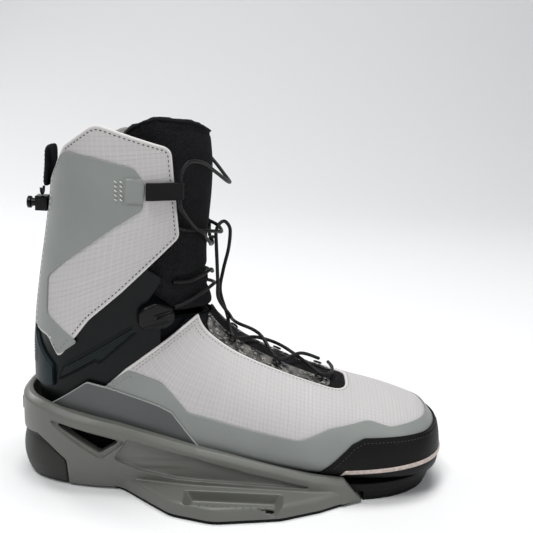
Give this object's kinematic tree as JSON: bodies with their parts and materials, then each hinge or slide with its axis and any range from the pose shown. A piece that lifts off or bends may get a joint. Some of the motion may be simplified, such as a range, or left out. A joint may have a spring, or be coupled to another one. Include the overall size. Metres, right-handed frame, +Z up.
{
  "type": "wakeboard boot with chassis",
  "caption": "Soft laced boot with heel shell and rubber toe, fixed in a moulded chassis whose slotted wings bolt to a board.",
  "frame": {"origin": "midway between the two board slots, on the underside of the base gasket", "axes": "+X to the toe, +Y to the inner side of the foot, +Z up out of the board"},
  "size_m": [0.3364, 0.1854, 0.2899],
  "materials": {
    "chassis_nylon": "moulded glass-filled nylon, fine texture",
    "black_rubber": "matt moulded rubber",
    "heel_rubber": "soft matt rubber",
    "white_ripstop": "coated ripstop fabric",
    "grey_overlay": "smooth welded film overlay",
    "heel_shell": "moulded heel counter, satin",
    "side_guard": "satin moulded guard",
    "black_mesh": "padded mesh",
    "neoprene": "neoprene with knit face",
    "foam": "moulded foam footbed",
    "webbing": "woven webbing",
    "pull_tape": "woven tape",
    "lace": "round braided lace",
    "gloss_plastic": "gloss moulded plastic",
    "reflective_strip": "pale moulded strip",
    "clear_film": "clear welded film over mesh",
    "steel": "plated steel",
    "badge": "satin blank badge"
  },
  "bodies": {
    "boot": {"ankle_guide_lateral": "gloss_plastic", "ankle_guide_medial": "gloss_plastic", "base_gasket": "black_rubber", "chassis": "chassis_nylon", "cuff_lateral": "white_ripstop", "cuff_medial": "white_ripstop", "cuff_overlay_lateral": "grey_overlay", "cuff_overlay_medial": "grey_overlay", "eyelet_lateral_1": "gloss_plastic", "eyelet_lateral_2": "gloss_plastic", "eyelet_lateral_3": "gloss_plastic", "eyelet_medial_1": "gloss_plastic", "eyelet_medial_2": "gloss_plastic", "eyelet_medial_3": "gloss_plastic", "eyestay_lateral": "clear_film", "eyestay_medial": "clear_film", "footbed": "foam", "heel_badge": "badge", "heel_pad": "heel_rubber", "heel_shell": "heel_shell", "heel_tab": "neoprene", "lace_ankle": "lace", "lace_high": "lace", "lace_lock_body": "gloss_plastic", "lace_lock_pin": "steel", "lace_loop_lateral": "webbing", "lace_loop_medial": "webbing", "lace_lower": "lace", "lace_middle": "lace", "lace_upper": "lace", "liner": "neoprene", "outsole": "black_rubber", "side_guard_lateral": "side_guard", "side_guard_medial": "side_guard", "sole_screw_1": "steel", "sole_screw_2": "steel", "sole_screw_3": "steel", "sole_screw_4": "steel", "spine": "heel_shell", "toe_rand": "black_rubber", "toe_trim": "reflective_strip", "toggle_body": "gloss_plastic", "toggle_loop": "lace", "tongue_instep": "black_mesh", "vamp": "white_ripstop", "vamp_overlay": "grey_overlay"},
    "tongue": {"tongue": "black_mesh", "tongue_pull_tape": "pull_tape", "tongue_pull_webbing": "webbing"},
    "lock_lever": {"lace_lock_lever": "gloss_plastic"},
    "plunger": {"toggle_plunger": "gloss_plastic"}
  },
  "joints": [
    {"name": "tongue_flex", "type": "hinge", "parent": "boot", "child": "tongue", "pos_m": [-0.03, 0, 0.139], "axis": [0, 1, 0], "range_deg": [0, 12], "stiffness_Nm_per_rad": 0.5, "deforming": ["lace_ankle", "lace_high", "lace_lower", "lace_middle", "lace_upper"]},
    {"name": "lock_lever_tilt", "type": "hinge", "parent": "boot", "child": "lock_lever", "pos_m": [-0.118, 0.0612, 0.176], "axis": [1, 0, 0], "range_deg": [0, 40]},
    {"name": "toggle_press", "type": "slide", "parent": "boot", "child": "plunger", "axis": [1, 0, 0], "range_m": [0, 0.003], "stiffness_N_per_m": 300, "springref_m": -0.001}
  ]
}
